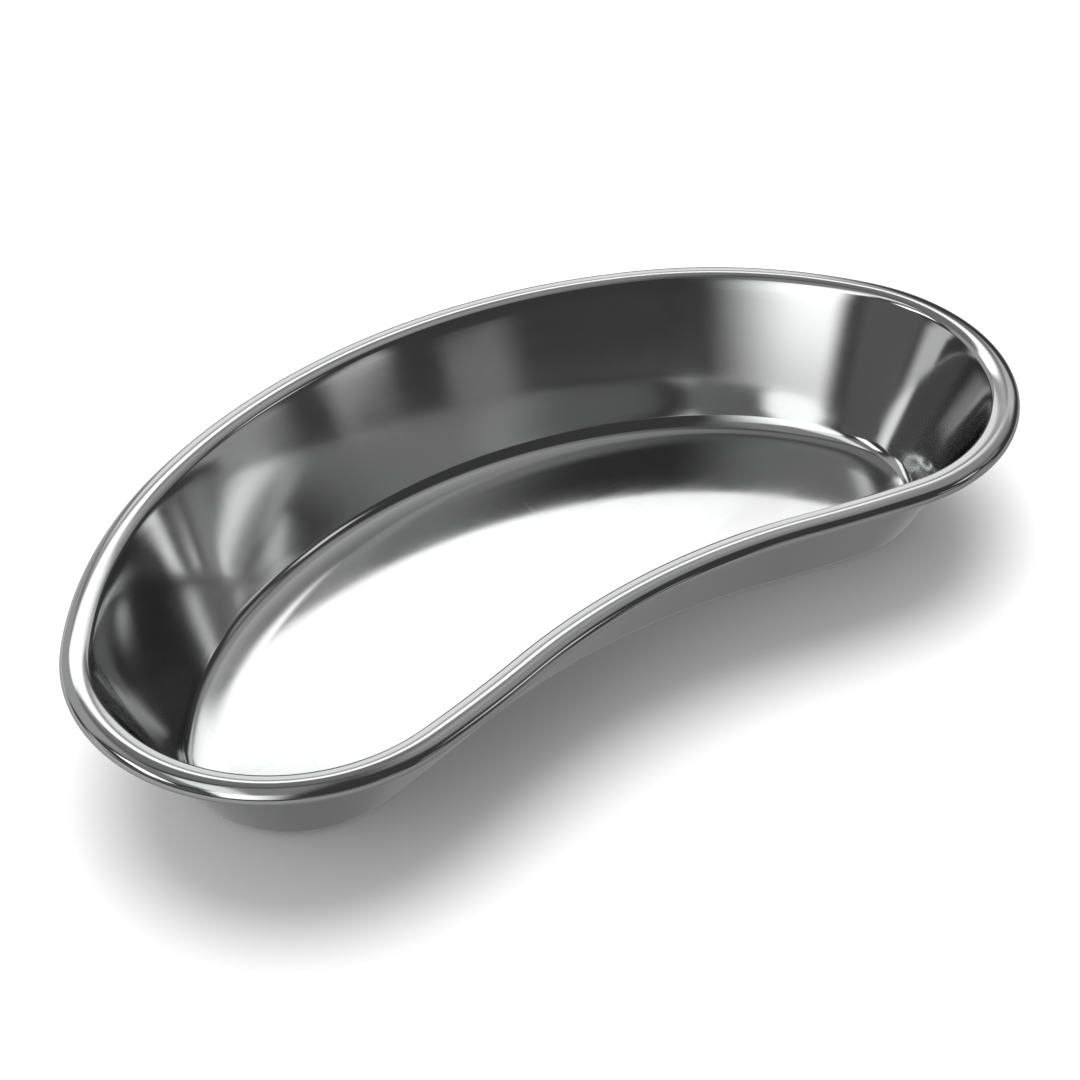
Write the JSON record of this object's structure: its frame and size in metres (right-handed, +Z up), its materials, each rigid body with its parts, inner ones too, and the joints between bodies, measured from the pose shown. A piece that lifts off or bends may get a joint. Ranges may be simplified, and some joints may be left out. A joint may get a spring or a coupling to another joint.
{
  "type": "kidney dish",
  "caption": "Shallow kidney-shaped metal basin with sloping walls, a flat floor and a rolled rim, held against the body or set down to catch fluids, dressings or instruments.",
  "frame": {"origin": "middle of the footprint, on the underside of the floor", "axes": "+X along the long side, +Z up out of the dish, -Y towards the hollow side of the kidney outline"},
  "size_m": [0.25, 0.1336, 0.0375],
  "materials": {
    "stainless_steel": "mirror-polished stainless steel with faint wipe marks and hairline scratches"
  },
  "bodies": {
    "root": {"dish_body": "stainless_steel"}
  },
  "joints": []
}
